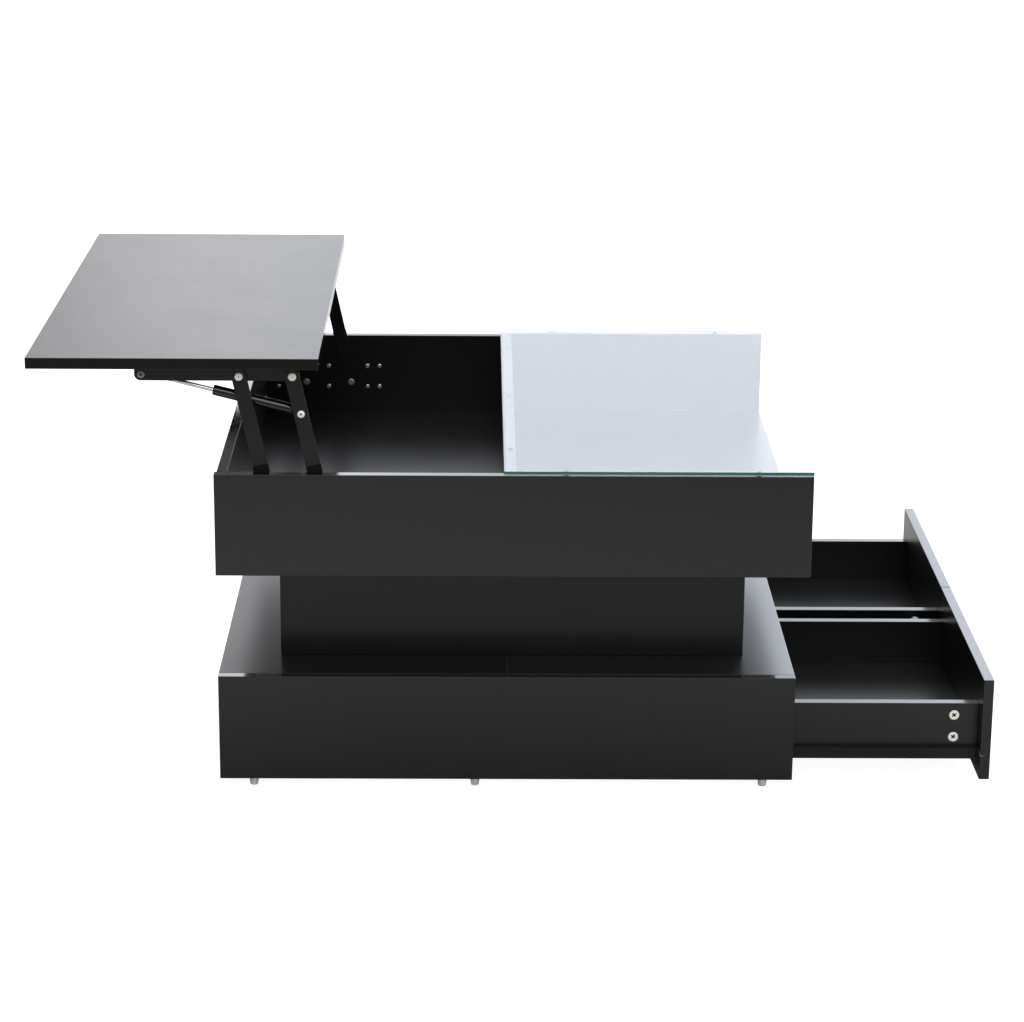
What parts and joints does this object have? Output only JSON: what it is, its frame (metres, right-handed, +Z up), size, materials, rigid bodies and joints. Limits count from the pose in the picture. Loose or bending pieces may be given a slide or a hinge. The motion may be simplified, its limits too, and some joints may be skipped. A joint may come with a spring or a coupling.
{
  "type": "collectors display table",
  "caption": "Square black display table with a lift-up top on linked arms and gas struts, a glass-topped display bay open at one end, a pedestal, and a base with side-by-side drawers.",
  "frame": {"origin": "On the floor under the middle of the base carcass, at the foot of the centre glide.", "axes": "+X runs along the table towards the drawers, +Y to the back, +Z up. The table is modelled open: lid raised to the left, drawers out to the right."},
  "size_m": [1.3814, 0.85, 0.6408],
  "materials": {
    "black_laminate": "satin black melamine on particle board, 15 mm, very fine pore texture, edge-banded",
    "drawer_bottom_board": "thin black faced hardboard",
    "joint_strip": "black extruded joint strip",
    "clear_glass": "clear tempered glass with polished green-tinted edges",
    "clear_bumper": "clear soft bumper",
    "glide_plastic": "translucent white nail-on glide",
    "lift_steel": "black powder-coated steel strip, worn bright on its sheared edges",
    "rivet_steel": "dark zinc-plated rivet",
    "strut_tube": "gloss black pressure tube",
    "strut_rod_steel": "ground and plated rod",
    "cam_zinc": "die-cast zinc cam with a cross recess",
    "bolt_steel": "zinc-plated connecting bolt",
    "screw_steel": "plated pan-head screw",
    "runner_steel": "black enamelled rolled steel",
    "roller_plastic": "white nylon"
  },
  "bodies": {
    "table": {"back_lift_bracket": "lift_steel", "base_back_panel": "black_laminate", "base_channels": "runner_steel", "base_cross_panel": "black_laminate", "base_front_panel": "black_laminate", "base_left_panel": "black_laminate", "base_partition": "black_laminate", "base_pivot_rivets": "rivet_steel", "base_top_joint_strip": "joint_strip", "base_top_left": "black_laminate", "base_top_right": "black_laminate", "carcass_bolts": "bolt_steel", "carcass_cams": "cam_zinc", "carcass_screws": "screw_steel", "floor_glides": "glide_plastic", "front_lift_bracket": "lift_steel", "glass_bumpers": "clear_bumper", "glass_top": "clear_glass", "pedestal_back_panel": "black_laminate", "pedestal_front_panel": "black_laminate", "pedestal_left_panel": "black_laminate", "pedestal_right_panel": "black_laminate", "tray_back_panel": "black_laminate", "tray_bottom_panel": "black_laminate", "tray_divider": "black_laminate", "tray_front_panel": "black_laminate", "tray_left_panel": "black_laminate"},
    "left_arms": {"left_lift_arms": "lift_steel"},
    "right_arms": {"right_lift_arms": "lift_steel", "strut_arm_pins": "rivet_steel"},
    "lifting_top": {"lift_lid": "black_laminate", "front_lid_rail": "lift_steel", "back_lid_rail": "lift_steel", "lid_rail_screws": "screw_steel", "top_pivot_rivets": "rivet_steel", "strut_rail_rivets": "rivet_steel"},
    "gas_cylinders": {"strut_cylinders": "strut_tube"},
    "gas_rods": {"strut_rods": "strut_rod_steel"},
    "front_drawer": {"front_drawer_front": "black_laminate", "front_drawer_outer_side": "black_laminate", "front_drawer_inner_side": "black_laminate", "front_drawer_back": "black_laminate", "front_drawer_bottom": "drawer_bottom_board", "front_drawer_cams": "cam_zinc", "front_drawer_bolts": "bolt_steel", "front_drawer_angles": "runner_steel", "front_drawer_screws": "screw_steel"},
    "back_drawer": {"back_drawer_front": "black_laminate", "back_drawer_outer_side": "black_laminate", "back_drawer_inner_side": "black_laminate", "back_drawer_back": "black_laminate", "back_drawer_bottom": "drawer_bottom_board", "back_drawer_cams": "cam_zinc", "back_drawer_bolts": "bolt_steel", "back_drawer_angles": "runner_steel", "back_drawer_screws": "screw_steel"},
    "front_channel_rollers": {"front_base_rollers": "roller_plastic"},
    "back_channel_rollers": {"back_base_rollers": "roller_plastic"},
    "front_angle_rollers": {"front_drawer_rollers": "roller_plastic"},
    "back_angle_rollers": {"back_drawer_rollers": "roller_plastic"}
  },
  "joints": [
    {"name": "lift", "type": "hinge", "parent": "table", "child": "left_arms", "pos_m": [-0.3326, 0, 0.39325], "axis": [0, 1, 0], "range_deg": [0, 85.1]},
    {"name": "right_arm_pivot", "type": "hinge", "parent": "table", "child": "right_arms", "pos_m": [-0.2576, 0, 0.39325], "axis": [0, 1, 0], "range_deg": [-0.5, 85.6]},
    {"name": "top_levelling", "type": "hinge", "parent": "left_arms", "child": "lifting_top", "pos_m": [-0.37989, 0, 0.61016], "axis": [0, 1, 0], "range_deg": [-85.6, 0.5]},
    {"name": "gas_cylinder_pivot", "type": "hinge", "parent": "right_arms", "child": "gas_cylinders", "pos_m": [-0.29305, 0, 0.55583], "axis": [0, 1, 0], "range_deg": [-93.09, 0.5]},
    {"name": "gas_rod_slide", "type": "slide", "parent": "gas_cylinders", "child": "gas_rods", "axis": [-0.9699, 0, 0.2435], "range_m": [-0.07136, 0.0005]},
    {"name": "front_drawer_slide", "type": "slide", "parent": "table", "child": "front_drawer", "axis": [1, 0, 0], "range_m": [-0.272, 0]},
    {"name": "front_channel_roller_spin", "type": "hinge", "parent": "table", "child": "front_channel_rollers", "pos_m": [0.4018, 0, 0.0454], "axis": [0, 1, 0], "range_deg": [-1953.06, 5]},
    {"name": "front_angle_roller_spin", "type": "hinge", "parent": "front_drawer", "child": "front_angle_rollers", "pos_m": [0.354, 0, 0.0452], "axis": [0, 1, 0], "range_deg": [-1953.06, 5]},
    {"name": "back_drawer_slide", "type": "slide", "parent": "table", "child": "back_drawer", "axis": [1, 0, 0], "range_m": [-0.272, 0]},
    {"name": "back_channel_roller_spin", "type": "hinge", "parent": "table", "child": "back_channel_rollers", "pos_m": [0.4018, 0, 0.0454], "axis": [0, 1, 0], "range_deg": [-1953.06, 5]},
    {"name": "back_angle_roller_spin", "type": "hinge", "parent": "back_drawer", "child": "back_angle_rollers", "pos_m": [0.354, 0, 0.0452], "axis": [0, 1, 0], "range_deg": [-1953.06, 5]}
  ],
  "couplings": [
    {"joint": "right_arm_pivot", "follows": "lift", "ratio": 1},
    {"joint": "top_levelling", "follows": "lift", "ratio": -1},
    {"joint": "gas_cylinder_pivot", "follows": "lift", "ratio": -1.0881},
    {"joint": "gas_rod_slide", "follows": "lift", "m_per_rad": -0.047706},
    {"joint": "front_channel_roller_spin", "follows": "front_drawer_slide", "rad_per_m": 125},
    {"joint": "front_angle_roller_spin", "follows": "front_drawer_slide", "rad_per_m": 125},
    {"joint": "back_channel_roller_spin", "follows": "back_drawer_slide", "rad_per_m": 125},
    {"joint": "back_angle_roller_spin", "follows": "back_drawer_slide", "rad_per_m": 125}
  ]
}
